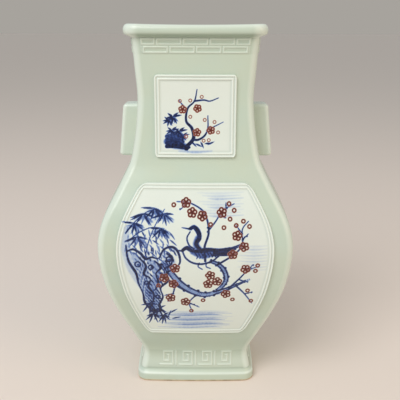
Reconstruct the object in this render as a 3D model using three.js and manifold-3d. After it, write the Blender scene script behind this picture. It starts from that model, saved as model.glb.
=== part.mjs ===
// Hu vase of square section, luted together from press-moulded porcelain slabs.
// Millimetres, +Z up, origin at the middle of the foot's underside, front face towards -Y.
import * as THREE from 'three';
import { mergeVertices } from 'three/addons/utils/BufferGeometryUtils.js';
import Module from 'manifold-3d';

const wasm = await Module();
wasm.setup();

// Driving dimensions
const vaseHeight = 380;
const depthShare = 0.75;
const wallThickness = 5.5;
const slipGap = 0.3;
const beddingGap = 0.5;
const cornerRadius = 8;
const faceCrown = 2;

// Half widths of the body, from the foot up to the mouth
const ringTop = 14;
const waistHeight = 34;
const waistHalf = 58;
const bellyHeight = 163;
const bellyHalf = 97.8;
const shoulderHeight = 230;
const shoulderHalf = 74;
const throatHeight = 306;
const throatHalf = 57;
const collarHeight = 368;
const collarHalf = 60.8;
const profile = [
  [ringTop, 60.6],
  [waistHeight, waistHalf],
  [56, 66.8],
  [91, 82],
  [123, 92.5],
  [bellyHeight, bellyHalf],
  [192, 92.8],
  [shoulderHeight, shoulderHalf],
  [252, 64.1],
  [throatHeight, throatHalf],
  [338, 58.6],
  [collarHeight, collarHalf],
];

// Mouth and foot
const rimHalf = 68.5;
const plinthHalf = 64.6;
const plinthHeight = 9.5;
const footBarWidth = 11;
const slabThickness = 6;

// Side lugs
const lugBottom = 248;
const lugTop = 302;
const lugHalfDepth = 13;
const lugTopReach = 74.3;
const lugBottomReach = 79.7;
const lugEdge = 3;

// Raised white panels
const panelRise = 1.5;
const borderRise = 0.9;
const borderWidth = 1.9;
const borderGroove = 1.3;
const neckPanelHalf = 39.8;
const neckPanelBottom = 254.5;
const neckPanelTop = 334;
const neckPanelCorner = 4.5;
const bodyPanelInset = 19.5;
const bodyPanelBottom = 64;
const bodyPanelTop = 231;
const bodyPanelCorner = 9;

// Key fret bands
const fretRise = 0.9;
const fretBar = 1.5;
const neckFretBottom = collarHeight - 14.5;
const neckFretRow = 7.4;
const neckFretHeight = 6.4;
const neckFretPitch = 25;
const neckFretGroove = 1.2;
const footFretBottom = 18;
const footFretHeight = 17;
const footFretPitch = 21.5;
const footFretCell = 15.5;

// Colours and finish
const celadon = new THREE.MeshStandardMaterial({ color: '#c4d0bc', roughness: 0.22, metalness: 0 });
const white = new THREE.MeshStandardMaterial({ color: '#e6ede3', roughness: 0.2, metalness: 0 });
const clay = new THREE.MeshStandardMaterial({ color: '#d8ceb4', roughness: 0.75, metalness: 0 });

// Half width at a height, along a smooth curve through the profile points
function halfWidth(height) {
  const last = profile.length - 1;
  let i = 0;
  while (i < last - 1 && height > profile[i + 1][0]) i += 1;
  const [z0, w0] = profile[i];
  const [z1, w1] = profile[i + 1];
  const before = profile[Math.max(i - 1, 0)];
  const after = profile[Math.min(i + 2, last)];
  const span = z1 - z0;
  const slope0 = (w1 - before[1]) / (z1 - before[0]);
  const slope1 = (after[1] - w0) / (after[0] - z0);
  const t = (height - z0) / span;
  const t2 = t * t;
  const t3 = t2 * t;
  const starts = (2 * t3 - 3 * t2 + 1) * w0 + (t3 - 2 * t2 + t) * span * slope0;
  return starts + (-2 * t3 + 3 * t2) * w1 + (t3 - t2) * span * slope1;
}

// The four faces: how wide each one is, how far out it stands, and where its own axes lie
const faces = {
  front: { wide: (z) => halfWidth(z), out: (z) => depthShare * halfWidth(z), turn: 0 },
  right: { wide: (z) => depthShare * halfWidth(z), out: (z) => halfWidth(z), turn: 1 },
  back: { wide: (z) => halfWidth(z), out: (z) => depthShare * halfWidth(z), turn: 2 },
  left: { wide: (z) => depthShare * halfWidth(z), out: (z) => halfWidth(z), turn: 3 },
};

// A point given along a face and out from the axis, turned to its place on the vase
function place(face, along, out, z) {
  const quarter = [[along, -out], [out, along], [-along, out], [-out, -along]];
  const [x, y] = quarter[face.turn];
  return new THREE.Vector3(x, y, z);
}

// How far a crowned face stands out at a place along it
function faceOut(face, along, z) {
  const flat = face.wide(z) - cornerRadius;
  const share = Math.min(Math.abs(along) / flat, 1);
  return face.out(z) + faceCrown * face.wide(z) / bellyHalf * (1 - share * share);
}

// A closed body from triangles, with shared corners merged
function bodyGeometry(points, triangles) {
  const geometry = new THREE.BufferGeometry();
  geometry.setAttribute('position', new THREE.Float32BufferAttribute(points.flatMap((p) => [p.x, p.y, p.z]), 3));
  geometry.setIndex(triangles);
  return geometry;
}

// A solid through closed rings, capped at both ends or closed on itself
function loft(rings, closed = false) {
  const count = rings[0].length;
  const triangles = [];
  const bands = closed ? rings.length : rings.length - 1;
  for (let r = 0; r < bands; r += 1) {
    const low = r * count;
    const high = ((r + 1) % rings.length) * count;
    for (let i = 0; i < count; i += 1) {
      const j = (i + 1) % count;
      triangles.push(low + i, low + j, high + j, low + i, high + j, high + i);
    }
  }
  if (!closed) {
    const flat = (ring) => ring.map((p) => new THREE.Vector2(p.x, p.y));
    const top = (rings.length - 1) * count;
    for (const [a, b, c] of THREE.ShapeUtils.triangulateShape(flat(rings[0]), [])) triangles.push(a, c, b);
    for (const [a, b, c] of THREE.ShapeUtils.triangulateShape(flat(rings.at(-1)), [])) {
      triangles.push(top + a, top + b, top + c);
    }
  }
  return bodyGeometry(rings.flat(), triangles);
}

function toSolid(geometry) {
  const bare = geometry.clone();
  bare.deleteAttribute('normal');
  bare.deleteAttribute('uv');
  const merged = mergeVertices(bare, 1e-4);
  return new wasm.Manifold(new wasm.Mesh({
    numProp: 3,
    vertProperties: new Float32Array(merged.attributes.position.array),
    triVerts: new Uint32Array(merged.index.array),
  }));
}

function toGeometry(solid) {
  const mesh = solid.getMesh();
  const geometry = new THREE.BufferGeometry();
  geometry.setAttribute('position', new THREE.BufferAttribute(new Float32Array(mesh.vertProperties), 3));
  geometry.setIndex(Array.from(mesh.triVerts));
  return geometry;
}

// One slab of the wall at one height: outer edge out and round both half corners, inner edge back
function wallSection(face, z) {
  const cornerSteps = 2;
  const edge = (inset, faceSteps) => {
    const radius = cornerRadius - inset;
    const flat = face.wide(z) - cornerRadius;
    const middle = face.out(z) - cornerRadius;
    const line = [];
    for (let i = 0; i <= cornerSteps; i += 1) {
      const angle = Math.PI / 4 * (1 - i / cornerSteps);
      line.push([-flat - radius * Math.sin(angle), middle + radius * Math.cos(angle)]);
    }
    for (let i = 1; i < faceSteps; i += 1) {
      const along = flat * (2 * i / faceSteps - 1);
      line.push([along, faceOut(face, along, z) - inset]);
    }
    for (let i = 0; i <= cornerSteps; i += 1) {
      const angle = Math.PI / 4 * i / cornerSteps;
      line.push([flat + radius * Math.sin(angle), middle + radius * Math.cos(angle)]);
    }
    const mitre = slipGap / 2 / Math.SQRT2;
    line[0] = [line[0][0] + mitre, line[0][1] + mitre];
    line[line.length - 1] = [line.at(-1)[0] - mitre, line.at(-1)[1] + mitre];
    return line;
  };
  const outline = [...edge(0, 6), ...edge(wallThickness, 2).reverse()];
  return outline.map(([along, out]) => place(face, along, out, z));
}

const wallLevels = [];
const levelStep = 12;
for (let z = ringTop + slipGap; z < collarHeight - levelStep / 2; z += levelStep) wallLevels.push(z);
wallLevels.push(collarHeight);

// A raised bar of a fret, as a flat outline along the face and up it, bent onto the wall
function fretRelief(face, outline, holes = []) {
  const sink = 1.2;
  const shape = new THREE.Shape(outline.map(([a, z]) => new THREE.Vector2(a, z)));
  shape.holes = holes.map((hole) => new THREE.Path(hole.map(([a, z]) => new THREE.Vector2(a, z))));
  const geometry = new THREE.ExtrudeGeometry(shape, { depth: 1, bevelEnabled: false });
  const position = geometry.attributes.position;
  for (let i = 0; i < position.count; i += 1) {
    const along = position.getX(i);
    const z = position.getY(i);
    const out = faceOut(face, along, z) + (position.getZ(i) > 0.5 ? fretRise : -sink);
    const p = place(face, along, out, z);
    position.setXYZ(i, p.x, p.y, p.z);
  }
  return toSolid(geometry);
}

const rectangle = (left, right, bottom, top) => [[left, bottom], [right, bottom], [right, top], [left, top]];

// Two rows of upright frames under the mouth, set like bricks
function neckFret(face) {
  const solids = [];
  for (const row of [0, 1]) {
    const bottom = neckFretBottom + (row === 0 ? 0 : neckFretRow);
    const reach = face.wide(bottom) - cornerRadius - 1;
    const count = Math.ceil(2 * reach / neckFretPitch) + 1;
    for (let i = -count; i <= count; i += 1) {
      const middle = (i + (row === 0 ? 0.5 : 0)) * neckFretPitch;
      const half = (neckFretPitch - neckFretGroove) / 2;
      const left = Math.max(middle - half, -reach);
      const right = Math.min(middle + half, reach);
      if (right - left < 3 * fretBar) continue;
      const outer = rectangle(left, right, bottom, bottom + neckFretHeight);
      const inner = rectangle(left + fretBar, right - fretBar, bottom + fretBar, bottom + neckFretHeight - fretBar);
      solids.push(fretRelief(face, outer, [inner]));
    }
  }
  return solids;
}

// A row of square spirals round the foot, each one with an upright bar beside it
function footFret(face) {
  const solids = [];
  const reach = face.wide(footFretBottom + footFretHeight) - cornerRadius;
  const count = Math.floor((2 * reach + footFretPitch - footFretCell) / footFretPitch);
  const gap = (footFretCell - 4 * fretBar) / 3.4;
  for (let i = 0; i < count; i += 1) {
    const left = (i - (count - 1) / 2) * footFretPitch - footFretCell / 2;
    const right = left + footFretCell;
    const bottom = footFretBottom;
    const top = bottom + footFretHeight;
    const b = fretBar;
    const step = b + gap;
    const spiral = [
      [left, bottom], [right, bottom], [right, top], [left + step, top],
      [left + step, bottom + step], [right - step, bottom + step],
      [right - step, top - step], [left + 2 * step, top - step], [left + 2 * step, top - step - b],
      [right - step - b, top - step - b], [right - step - b, bottom + step + b],
      [left + step + b, bottom + step + b], [left + step + b, top - b], [right - b, top - b],
      [right - b, bottom + b], [left, bottom + b],
    ];
    solids.push(fretRelief(face, spiral));
    if (i < count - 1) {
      const middle = right + (footFretPitch - footFretCell) / 2;
      solids.push(fretRelief(face, rectangle(middle - b / 2, middle + b / 2, bottom, top)));
    }
  }
  return solids;
}

function wall(face) {
  let solid = toSolid(loft(wallLevels.map((z) => wallSection(face, z))));
  for (const relief of [...neckFret(face), ...footFret(face)]) solid = solid.add(relief);
  return toGeometry(solid);
}

// A bar that runs all round the vase: its section is given as places out from a rounded rectangle
function barAround(half, section) {
  const steps = 5;
  const straight = 3;
  const path = [];
  const reachX = half - cornerRadius;
  const reachY = depthShare * half - cornerRadius;
  const centres = [[reachX, -reachY], [reachX, reachY], [-reachX, reachY], [-reachX, -reachY]];
  centres.forEach(([cx, cy], corner) => {
    const start = (corner - 1) * Math.PI / 2;
    for (let i = 0; i <= steps; i += 1) {
      const angle = start + i / steps * Math.PI / 2;
      path.push({ cx, cy, nx: Math.cos(angle), ny: Math.sin(angle) });
    }
    const [ex, ey] = centres[(corner + 1) % centres.length];
    const angle = start + Math.PI / 2;
    for (let i = 1; i < straight; i += 1) {
      const t = i / straight;
      path.push({ cx: cx + (ex - cx) * t, cy: cy + (ey - cy) * t, nx: Math.cos(angle), ny: Math.sin(angle) });
    }
  });
  const rings = path.map(({ cx, cy, nx, ny }) => section.toReversed().map(([out, z]) => {
    const reach = cornerRadius + out;
    return new THREE.Vector3(cx + nx * reach, cy + ny * reach, z);
  }));
  return loft(rings, true);
}

// Everted lip: a rounded roll over a hollowed underside, luted on top of the walls
function mouthRim() {
  const bottom = collarHeight + slipGap;
  const lip = rimHalf - collarHalf;
  const rise = vaseHeight - bottom;
  const section = [
    [-wallThickness, bottom], [0, bottom], [0.42 * lip, bottom + 0.1 * rise], [0.8 * lip, bottom + 0.26 * rise],
    [lip, bottom + 0.46 * rise], [0.98 * lip, bottom + 0.7 * rise], [0.78 * lip, bottom + 0.9 * rise],
    [0.4 * lip, vaseHeight], [0, vaseHeight - 0.03 * rise], [-0.7 * wallThickness, bottom + 0.8 * rise],
    [-wallThickness, bottom + 0.6 * rise],
  ];
  return barAround(collarHalf, section);
}

// Plinth: an upright face, a sloped ledge above it and a broad flat bar to stand on
function footRing() {
  const ledge = plinthHalf - profile[0][1];
  const bevel = 0.8;
  const section = [
    [ledge - footBarWidth, 0], [ledge - bevel, 0], [ledge, bevel], [ledge, plinthHeight - bevel],
    [ledge - bevel, plinthHeight], [0, ringTop], [ledge - footBarWidth, ringTop],
  ];
  return barAround(profile[0][1], section);
}

// The slab that closes the bottom, dropped between the walls onto the foot ring
function baseSlab() {
  const corner = cornerRadius - wallThickness;
  const steps = 3;
  const ring = (z) => {
    const inset = wallThickness + slipGap;
    const reachX = halfWidth(z) - inset - corner;
    const reachY = depthShare * halfWidth(z) - inset - corner;
    const points = [];
    [[1, -1], [1, 1], [-1, 1], [-1, -1]].forEach(([sx, sy], quarter) => {
      for (let i = 0; i <= steps; i += 1) {
        const angle = (quarter - 1 + i / steps) * Math.PI / 2;
        points.push(new THREE.Vector3(
          sx * reachX + corner * Math.cos(angle),
          sy * reachY + corner * Math.sin(angle),
          z,
        ));
      }
    });
    return points;
  };
  const bottom = ringTop + slipGap;
  return loft([ring(bottom), ring(bottom + slabThickness)]);
}

// Solid lug on a narrow side, its back cut to the slope of the neck
function lug(face) {
  const levels = 7;
  const steps = 3;
  const rings = [];
  for (let i = 0; i <= levels; i += 1) {
    const share = i / levels;
    const inner = i === 0 || i === levels;
    const z = lugBottom + (lugTop - lugBottom) * share;
    const draw = inner ? lugEdge * 0.6 : 0;
    const reach = lugBottomReach + (lugTopReach - lugBottomReach) * share - draw;
    const half = lugHalfDepth - draw;
    const back = faceOut(face, 0, z) + beddingGap;
    const ring = [place(face, -half, back, z)];
    for (const side of [-1, 1]) {
      for (let s = 0; s <= steps; s += 1) {
        const turn = s / steps * Math.PI / 2;
        const angle = side < 0 ? Math.PI - turn : Math.PI / 2 - turn;
        const along = side * (half - lugEdge) + lugEdge * Math.cos(angle);
        ring.push(place(face, along, reach - lugEdge + lugEdge * Math.sin(angle), z));
      }
    }
    ring.push(place(face, half, back, z));
    rings.push(ring);
  }
  for (const [ring, nudge] of [[0, lugEdge * 0.5], [levels, -lugEdge * 0.5]]) {
    const near = ring === 0 ? 1 : levels - 1;
    const z = rings[ring][0].z + nudge;
    rings[near].forEach((p, i) => {
      const back = faceOut(face, 0, z) + beddingGap;
      const moved = i === 0 || i === rings[near].length - 1;
      const along = i === 0 ? -lugHalfDepth : lugHalfDepth;
      if (moved) p.copy(place(face, along, back, z));
      p.z = z;
    });
  }
  return loft(rings);
}

// Height of a panel's surface at a distance in from its edge: two raised lines, then the field
function panelSurface(inset) {
  const first = inset < borderWidth;
  const second = inset > borderWidth + borderGroove && inset < 2 * borderWidth + borderGroove;
  return panelRise + (first || second ? borderRise : 0);
}

// Distances in from an edge where a panel's surface changes height
function panelInsets() {
  const ramp = 0.4;
  const second = borderWidth + borderGroove + ramp;
  return [0, borderWidth - ramp, borderWidth + ramp, second, second + borderWidth - ramp, second + borderWidth + ramp];
}

// A white panel: a thin plate bent onto its wall, narrower towards rounded corners
function panel(face, bottom, top, halfAt, corner) {
  const insets = panelInsets();
  const fieldRows = Math.ceil((top - bottom) / levelStep);
  const fieldColumns = 4;
  const inner = insets.at(-1);
  const rowInsets = corner > inner ? [...insets, corner] : insets;
  const fieldStart = rowInsets.at(-1);
  const heights = rowInsets.map((inset) => bottom + inset);
  for (let i = 1; i < fieldRows; i += 1) {
    heights.push(bottom + fieldStart + (top - bottom - 2 * fieldStart) * i / fieldRows);
  }
  heights.push(...rowInsets.map((inset) => top - inset).reverse());
  const rows = heights.map((z) => {
    const edge = Math.min(z - bottom, top - z);
    const miss = Math.max(corner - edge, 0);
    const half = halfAt(z) - (corner - Math.sqrt(corner * corner - miss * miss)) * 0.8;
    const places = insets.map((inset) => -half + inset);
    for (let i = 1; i < fieldColumns; i += 1) places.push((half - inner) * (2 * i / fieldColumns - 1));
    places.push(...insets.map((inset) => half - inset).reverse());
    return places.map((along) => {
      const inset = Math.min(edge, half - Math.abs(along));
      const base = faceOut(face, along, z) + beddingGap;
      return [place(face, along, base, z), place(face, along, base + panelSurface(inset), z)];
    });
  });
  const columns = rows[0].length;
  const points = [...rows.flat().map((pair) => pair[0]), ...rows.flat().map((pair) => pair[1])];
  const layer = rows.length * columns;
  const triangles = [];
  const quad = (a, b, c, d) => triangles.push(a, b, c, a, c, d);
  for (let r = 0; r + 1 < rows.length; r += 1) {
    const low = r * columns;
    const high = low + columns;
    for (let c = 0; c + 1 < columns; c += 1) {
      quad(layer + low + c, layer + low + c + 1, layer + high + c + 1, layer + high + c);
      quad(low + c + 1, low + c, high + c, high + c + 1);
    }
    quad(low, layer + low, layer + high, high);
    quad(layer + low + columns - 1, low + columns - 1, high + columns - 1, layer + high + columns - 1);
  }
  const lastRow = (rows.length - 1) * columns;
  for (let c = 0; c + 1 < columns; c += 1) {
    quad(c, c + 1, layer + c + 1, layer + c);
    quad(lastRow + c + 1, lastRow + c, layer + lastRow + c, layer + lastRow + c + 1);
  }
  return bodyGeometry(points, triangles);
}

const neckPanel = (face) => panel(face, neckPanelBottom, neckPanelTop, () => neckPanelHalf, neckPanelCorner);
const bodyPanel = (face) => panel(
  face,
  bodyPanelBottom,
  bodyPanelTop,
  (z) => face.wide(z) - bodyPanelInset,
  bodyPanelCorner,
);

const vase = new THREE.Group();

function addPiece(name, geometry, material) {
  const mesh = new THREE.Mesh(geometry, material);
  mesh.name = name;
  vase.add(mesh);
}

for (const [name, face] of Object.entries(faces)) addPiece(`${name}_wall`, wall(face), celadon);
addPiece('mouth_rim', mouthRim(), celadon);
addPiece('foot_ring', footRing(), clay);
addPiece('base_slab', baseSlab(), clay);
for (const side of ['left', 'right']) addPiece(`${side}_handle`, lug(faces[side]), celadon);
for (const side of ['front', 'back']) {
  addPiece(`${side}_neck_panel`, neckPanel(faces[side]), white);
  addPiece(`${side}_body_panel`, bodyPanel(faces[side]), white);
}

export default vase;
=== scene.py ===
# %% [markdown]
# Painted hu vase.
# A hu is a Chinese storage jar that became a display vase. This one has a square section with
# rounded corners, a lip that turns out, two lugs on the neck and a stepped foot. It is pressed
# from porcelain slabs, glazed pale celadon green, and carries raised white panels painted in
# cobalt blue and iron red. The construction comes from a CAD model in the same frame, and this
# lesson builds the glazed skin, the panels and their painting over it.

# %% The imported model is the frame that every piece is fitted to
import math

import bpy
import numpy as np
from mathutils import Matrix, Vector


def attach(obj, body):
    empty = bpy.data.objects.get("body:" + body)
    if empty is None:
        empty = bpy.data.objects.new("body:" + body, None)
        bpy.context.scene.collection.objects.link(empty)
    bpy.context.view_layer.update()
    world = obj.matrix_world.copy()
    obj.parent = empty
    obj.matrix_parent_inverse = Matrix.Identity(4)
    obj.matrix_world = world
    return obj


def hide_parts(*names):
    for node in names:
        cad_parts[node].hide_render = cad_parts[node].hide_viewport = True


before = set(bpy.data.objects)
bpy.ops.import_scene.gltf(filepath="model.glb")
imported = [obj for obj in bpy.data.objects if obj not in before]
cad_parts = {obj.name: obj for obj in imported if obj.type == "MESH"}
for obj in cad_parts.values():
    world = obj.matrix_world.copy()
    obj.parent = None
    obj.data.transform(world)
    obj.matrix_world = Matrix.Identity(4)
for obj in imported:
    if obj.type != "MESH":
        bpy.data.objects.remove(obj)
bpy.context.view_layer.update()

print("CAD nodes:", sorted(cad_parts))

# %% [markdown]
# Colours are written as sRGB hex values, as a colour picker shows them. Blender's shaders work in
# linear light, so one function turns a hex value into linear red, green and blue.

# %% Colour and node helpers
MM = 0.001


def linear(hex_colour, alpha=1.0):
    parts = [int(hex_colour[i:i + 2], 16) / 255 for i in (1, 3, 5)]
    curve = [c / 12.92 if c <= 0.04045 else ((c + 0.055) / 1.055) ** 2.4 for c in parts]
    return (*curve, alpha)


def add_node(tree, kind, settings=None, inputs=None):
    node = tree.nodes.new(kind)
    for name, value in (settings or {}).items():
        setattr(node, name, value)
    for name, value in (inputs or {}).items():
        socket = node.inputs[name]
        if isinstance(value, bpy.types.NodeSocket):
            tree.links.new(value, socket)
        else:
            socket.default_value = value
    return node


# %% [markdown]
# The camera first. How much the upright sides of the neck panel draw together gives a tilt of 17
# degrees and a focal length of 562 pixels in a 400 pixel frame. With a vase 380 mm tall, the
# camera is then about 590 mm from its axis and level with the mouth.

# %% Camera
FOCAL_PX = 562
FRAME_PX = 400
SENSOR = 36
TILT = math.radians(17.0)
ROLL = math.radians(0.15)
CAMERA_DISTANCE = 0.590
CAMERA_HEIGHT = 0.376
CAMERA_SIDE = 0.0046

camera_data = bpy.data.cameras.new("camera")
camera_data.sensor_width = SENSOR
camera_data.lens = SENSOR * FOCAL_PX / FRAME_PX
camera = bpy.data.objects.new("camera", camera_data)
bpy.context.collection.objects.link(camera)
spin = Matrix.Rotation(math.pi / 2 - TILT, 4, "X") @ Matrix.Rotation(ROLL, 4, "Z")
camera.matrix_world = Matrix.Translation((CAMERA_SIDE, -CAMERA_DISTANCE, CAMERA_HEIGHT)) @ spin
bpy.context.scene.camera = camera
print("lens", round(camera_data.lens, 2), "mm")

# %% [markdown]
# The vase's outline is one curve from foot to mouth, given by a few half widths. The same smooth
# curve is used as in the CAD, so the skin lies on the slabs. All shape values are millimetres.

# %% The outline of the vase
CORNER = 8.0
DEPTH_SHARE = 0.75
CROWN = 2.0
WALL = 5.5
BELLY_HALF = 97.8
RING_TOP = 14.0
RING_HALF = 60.6
COLLAR_HALF = 60.8
RIM_HALF = 68.5
COLLAR = 368.0
TOTAL = 380.0
PROFILE = np.array([
    (RING_TOP, RING_HALF), (34, 58), (56, 66.8), (91, 82), (123, 92.5), (163, BELLY_HALF), (192, 92.8),
    (230, 74), (252, 64.1), (306, 57), (338, 58.6), (COLLAR, COLLAR_HALF),
])


def half_width(z):
    z = np.atleast_1d(np.asarray(z, float))
    last = len(PROFILE) - 1
    i = np.clip(np.searchsorted(PROFILE[:, 0], z, side="left") - 1, 0, last - 1)
    z0, w0 = PROFILE[i].T
    z1, w1 = PROFILE[i + 1].T
    zb, wb = PROFILE[np.maximum(i - 1, 0)].T
    za, wa = PROFILE[np.minimum(i + 2, last)].T
    span = z1 - z0
    t = np.clip((z - z0) / span, 0, 1)
    start = (2 * t**3 - 3 * t**2 + 1) * w0 + (t**3 - 2 * t**2 + t) * span * (w1 - wb) / (z1 - zb)
    return start + (-2 * t**3 + 3 * t**2) * w1 + (t**3 - t**2) * span * (wa - w0) / (za - z0)


def front_out(along, z):
    wide = half_width(z)
    share = np.clip(np.abs(along) / (wide - CORNER), 0, 1)
    return DEPTH_SHARE * wide + CROWN * wide / BELLY_HALF * (1 - share**2)


def smooth(low, high, value):
    t = np.clip((value - low) / (high - low), 0, 1)
    return t * t * (3 - 2 * t)


print("belly", 2 * float(half_width(163)[0]), "mm wide")

# %% [markdown]
# A grid of points is the plainest way to make a mesh from a formula. This helper takes rows of
# points, joins neighbours with four-sided faces and stores any painted values as attributes,
# which the materials read later.

# %% A mesh from a grid of points


def grid_mesh(name, points, wrap=False, attributes=None, flip=False):
    rows, columns = points.shape[:2]
    index = np.arange(rows * columns).reshape(rows, columns)
    if wrap:
        index = np.hstack([index, index[:, :1]])
    a, b = index[:-1, :-1].ravel(), index[:-1, 1:].ravel()
    c, d = index[1:, 1:].ravel(), index[1:, :-1].ravel()
    quads = np.stack([a, d, c, b] if flip else [a, b, c, d], axis=1)
    mesh = bpy.data.meshes.new(name)
    mesh.vertices.add(rows * columns)
    mesh.vertices.foreach_set("co", (points.reshape(-1, 3) * MM).ravel())
    mesh.loops.add(quads.size)
    mesh.loops.foreach_set("vertex_index", quads.ravel().astype(np.int32))
    mesh.polygons.add(len(quads))
    mesh.polygons.foreach_set("loop_start", np.arange(0, quads.size, 4, dtype=np.int32))
    mesh.polygons.foreach_set("use_smooth", np.ones(len(quads), bool))
    mesh.update(calc_edges=True)
    mesh.validate()
    for key, values in (attributes or {}).items():
        layer = mesh.attributes.new(key, "FLOAT", "POINT")
        layer.data.foreach_set("value", values.ravel().astype(np.float32))
    piece = bpy.data.objects.new(name, mesh)
    bpy.context.collection.objects.link(piece)
    print(name, len(quads), "faces")
    return piece


# %% [markdown]
# Key fret bands. On the real vase they are cut into the mould, so they stand about a millimetre
# proud: brick-like frames in two rows under the lip, and square spirals with an upright bar
# between them round the foot. Here each is a height at a place along the face and up it.

# %% Relief of the fret bands
FRET_RISE = 0.9
FRET_BAR = 1.5
NECK_FRET_BOTTOM = COLLAR - 14.5
NECK_FRET_ROW = 7.4
NECK_FRET_HEIGHT = 6.4
NECK_FRET_PITCH = 25.0
NECK_FRET_GROOVE = 1.2
FOOT_FRET_BOTTOM = 18.0
FOOT_FRET_HEIGHT = 17.0
FOOT_FRET_PITCH = 21.5
FOOT_FRET_CELL = 15.5
SOFT = 0.55
FOOT_FRET_HALF = float(half_width(FOOT_FRET_BOTTOM + FOOT_FRET_HEIGHT)[0])


def neck_fret(along, z, reach):
    height = np.zeros_like(along)
    for row in (0, 1):
        bottom = NECK_FRET_BOTTOM + row * NECK_FRET_ROW
        shift = 0.0 if row == 0 else NECK_FRET_PITCH / 2
        local = np.mod(along + shift, NECK_FRET_PITCH)
        side = NECK_FRET_PITCH / 2 - np.abs(local - NECK_FRET_PITCH / 2) - NECK_FRET_GROOVE / 2
        edge = np.minimum(side, np.minimum(z - bottom, bottom + NECK_FRET_HEIGHT - z))
        edge = np.minimum(edge, reach - np.abs(along))
        bar = smooth(-SOFT, SOFT, edge) * (1 - smooth(FRET_BAR - SOFT, FRET_BAR + SOFT, edge))
        height = np.maximum(height, bar)
    return height


def bar_between(px, pz, ends):
    (ax, az), (bx, bz) = ends
    dx, dz = bx - ax, bz - az
    t = np.clip(((px - ax) * dx + (pz - az) * dz) / (dx * dx + dz * dz), 0, 1)
    distance = np.maximum(np.abs(px - ax - t * dx), np.abs(pz - az - t * dz))
    return 1 - smooth(FRET_BAR / 2 - SOFT, FRET_BAR / 2 + SOFT, distance)


def foot_fret(along, z, reach):
    height = np.zeros_like(along)
    count = int((2 * reach + FOOT_FRET_PITCH - FOOT_FRET_CELL) / FOOT_FRET_PITCH)
    b = FRET_BAR / 2
    step = FRET_BAR + (FOOT_FRET_CELL - 4 * FRET_BAR) / 3.4
    top = FOOT_FRET_BOTTOM + FOOT_FRET_HEIGHT
    for i in range(count):
        left = (i - (count - 1) / 2) * FOOT_FRET_PITCH - FOOT_FRET_CELL / 2 + b
        right = left + FOOT_FRET_CELL - 2 * b
        low, high = FOOT_FRET_BOTTOM + b, top - b
        turns = [
            (left, low), (right, low), (right, high), (left + step, high), (left + step, low + step),
            (right - step, low + step), (right - step, high - step), (left + 2 * step, high - step),
        ]
        for ends in zip(turns[:-1], turns[1:]):
            height = np.maximum(height, bar_between(along, z, ends))
        if i < count - 1:
            middle = right + b + (FOOT_FRET_PITCH - FOOT_FRET_CELL) / 2
            height = np.maximum(height, bar_between(along, z, [(middle, low), (middle, high)]))
    return height


# %% [markdown]
# The glazed skin is one surface: under the foot, up the plinth, over the ledge, up the wall, over
# the lip and down inside. Each row is a rounded rectangle. Rows are close together in the fret
# bands, where the relief needs them, and wide apart on the plain curves.
# Two painted values go with it. The first marks where the glaze drew off an edge while it was molten,
# so the white body shows through, and also carries painted highlight on the foot band and the top
# of the lip. The second marks where the glaze gathered in a hollow and looks greener, and also
# carries painted shade under the lip and on the underside of the belly.

# %% Rows of the skin: base half width, distance out from it, height
LEDGE = 4.0
FOOT_BAR = 11.0
LIP = RIM_HALF - COLLAR_HALF
LIP_BOTTOM = COLLAR + 0.3
LIP_RISE = TOTAL - LIP_BOTTOM

rows = [(RING_HALF, LEDGE - FOOT_BAR, z) for z in (14.0, 8.0, 2.0)]
rows += [(RING_HALF, out, z) for out, z in ((-6.6, 0.6), (-6.0, 0.0), (-2.0, 0.0), (2.2, 0.0), (3.2, 0.1))]
rows += [(RING_HALF, LEDGE, z) for z in (1.0, 2.0, 3.2, 4.6, 6.2, 7.8)]
slope = ((3.9, 8.7), (3.5, 9.3), (2.9, 9.9), (2.0, 11.0), (1.0, 12.3), (0.2, 13.6))
rows += [(RING_HALF, out, z) for out, z in slope]
levels = np.concatenate([
    np.linspace(14.3, 17.0, 4), np.linspace(17.3, 35.7, 40), np.linspace(37, 352, 68),
    np.linspace(352.9, 367.6, 32),
])
wall_first = len(rows)
rows += [(float(half_width(z)[0]), 0.0, float(z)) for z in levels]
lip_turn = np.linspace(-0.5, 1.35, 15) * math.pi / 2
rows += [(COLLAR_HALF, 0.2 * LIP, COLLAR + 0.4), (COLLAR_HALF, 0.5 * LIP, COLLAR + 1.3)]
for angle in lip_turn:
    out = 0.42 * LIP + 0.58 * LIP * math.cos(angle)
    rows.append((COLLAR_HALF, out, LIP_BOTTOM + LIP_RISE * (0.52 + 0.48 * math.sin(angle))))
rows += [(COLLAR_HALF, 0.0, TOTAL - 0.25), (COLLAR_HALF, -2.4, TOTAL - 1.2), (COLLAR_HALF, -4.4, TOTAL - 3.6)]
inside = np.linspace(371, 20.6, 40)
rows += [(float(half_width(min(z, COLLAR))[0]), -WALL, float(z)) for z in inside]
rows = np.array(rows)
print(len(rows), "rows in the skin")

# %% The glazed skin
FACE_POINTS = 190
SIDE_POINTS = 140
CORNER_POINTS = 12


def perimeter(half, out):
    radius = CORNER + out
    reach = (half - CORNER, DEPTH_SHARE * half - CORNER)
    x, y, along, face, corner = [], [], [], [], []
    for turn in range(4):
        wide, deep = (reach[0], reach[1]) if turn % 2 == 0 else (reach[1], reach[0])
        steps = FACE_POINTS if turn % 2 == 0 else SIDE_POINTS
        place = np.linspace(-wide, wide, steps, endpoint=False)
        crown = CROWN * (wide + CORNER) / BELLY_HALF * (1 - (place / wide) ** 2)
        local = [(place, deep + radius + crown, np.zeros(steps))]
        bend = np.linspace(0, math.pi / 2, CORNER_POINTS, endpoint=False)
        local.append((wide + radius * np.sin(bend), deep + radius * np.cos(bend), np.sin(2 * bend)))
        for u, v, rounding in local:
            turned = [(u, -v), (v, u), (-u, v), (-v, -u)][turn]
            x.append(turned[0])
            y.append(turned[1])
            along.append(u)
            face.append(np.full(len(u), turn))
            corner.append(rounding)
    return [np.concatenate(part) for part in (x, y, along, face, corner)]


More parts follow.
